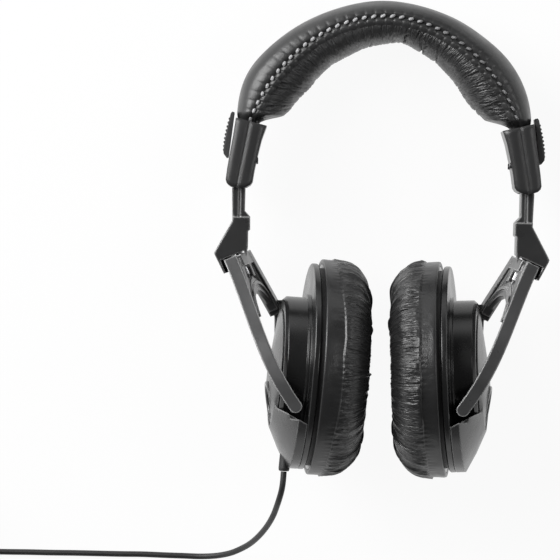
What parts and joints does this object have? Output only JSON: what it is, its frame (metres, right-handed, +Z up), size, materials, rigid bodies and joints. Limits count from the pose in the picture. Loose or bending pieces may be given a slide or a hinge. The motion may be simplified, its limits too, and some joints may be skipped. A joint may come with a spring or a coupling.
{
  "type": "over-ear headphones",
  "caption": "Over-ear studio headphones with a padded leatherette headband, sliding arms, swivelling forks, tilting round ear cups and a thin cord with a stereo plug.",
  "frame": {"origin": "middle of the underside of the headphones as they lie, on the surface that they lie on, measured without the cord", "axes": "+X to the right across the two ear cups, +Y from the ear cups to the crown of the headband, +Z up from the surface"},
  "size_m": [0.2919, 0.2524, 0.0925],
  "materials": {
    "band_leather": "smooth black leatherette, satin, slightly puffed",
    "pad_leather": "wrinkled glossy black leatherette",
    "satin_plastic": "satin moulded black plastic",
    "fork_plastic": "satin dark grey moulded plastic",
    "gloss_plastic": "polished black plastic",
    "grip_plastic": "fine ribbed dark grey plastic",
    "inner_plastic": "plain moulded plastic, unpainted",
    "spring_steel": "bright rolled steel",
    "screw_steel": "blackened steel",
    "magnet_steel": "nickel-plated",
    "film": "thin translucent film",
    "felt": "pale pressed felt",
    "cloth": "fine black acoustic cloth",
    "cord_rubber": "smooth matt black jacket",
    "tie_plastic": "soft black strap",
    "plug_gold": "gold-plated contacts"
  },
  "bodies": {
    "headband": {"band_spring": "spring_steel", "spring_rivets": "screw_steel", "top_cover": "band_leather", "head_pad": "pad_leather", "left_sleeve_outer": "satin_plastic", "left_sleeve_inner": "satin_plastic", "left_grip_cover": "grip_plastic", "left_sleeve_screws": "screw_steel", "left_detent_spring": "spring_steel", "right_sleeve_outer": "satin_plastic", "right_sleeve_inner": "satin_plastic", "right_grip_cover": "grip_plastic", "right_sleeve_screws": "screw_steel", "right_detent_spring": "spring_steel"},
    "left_arm": {"left_slider_arm": "satin_plastic", "left_swivel_pin": "spring_steel"},
    "left_fork": {"left_fork": "fork_plastic"},
    "left_cup": {"left_pivot_pins": "spring_steel", "left_cup_housing": "satin_plastic", "left_cup_cover": "satin_plastic", "left_port_ring": "gloss_plastic", "left_port_disc": "inner_plastic", "left_baffle": "inner_plastic", "left_driver_frame": "inner_plastic", "left_magnet": "magnet_steel", "left_diaphragm": "film", "left_damping_felt": "felt", "left_cover_screws": "screw_steel", "left_pad_plate": "gloss_plastic", "left_pad_cloth": "cloth", "left_ear_pad": "pad_leather", "strain_relief": "cord_rubber", "cord": "cord_rubber", "cord_coil": "cord_rubber", "cord_tie": "tie_plastic", "plug_grip": "cord_rubber", "plug_contacts": "plug_gold"},
    "right_arm": {"right_slider_arm": "satin_plastic", "right_swivel_pin": "spring_steel"},
    "right_fork": {"right_fork": "fork_plastic"},
    "right_cup": {"right_pivot_pins": "spring_steel", "right_cup_housing": "satin_plastic", "right_cup_cover": "satin_plastic", "right_port_ring": "gloss_plastic", "right_port_disc": "inner_plastic", "right_baffle": "inner_plastic", "right_driver_frame": "inner_plastic", "right_magnet": "magnet_steel", "right_diaphragm": "film", "right_damping_felt": "felt", "right_cover_screws": "screw_steel", "right_pad_plate": "gloss_plastic", "right_pad_cloth": "cloth", "right_ear_pad": "pad_leather"}
  },
  "joints": [
    {"name": "left_slide", "type": "slide", "parent": "headband", "child": "left_arm", "axis": [-0.0698, -0.9805, 0.1835], "range_m": [-0.01, 0.016]},
    {"name": "left_swivel", "type": "hinge", "parent": "left_arm", "child": "left_fork", "pos_m": [-0.06107, -0.00764, 0.03838], "axis": [0.4099, -0.8966, 0.1678], "range_deg": [-4, 4]},
    {"name": "left_tilt", "type": "hinge", "parent": "left_fork", "child": "left_cup", "pos_m": [-0.03859, -0.07101, 0.05051], "axis": [-0.0872, -0.1833, -0.9792], "range_deg": [-8, 3]},
    {"name": "right_slide", "type": "slide", "parent": "headband", "child": "right_arm", "axis": [0.0698, -0.9805, 0.1835], "range_m": [-0.01, 0.016]},
    {"name": "right_swivel", "type": "hinge", "parent": "right_arm", "child": "right_fork", "pos_m": [0.06107, -0.00764, 0.03838], "axis": [0.4099, 0.8966, -0.1678], "range_deg": [-4, 4]},
    {"name": "right_tilt", "type": "hinge", "parent": "right_fork", "child": "right_cup", "pos_m": [0.03859, -0.07101, 0.05051], "axis": [-0.0872, 0.1833, 0.9792], "range_deg": [-8, 3]}
  ]
}
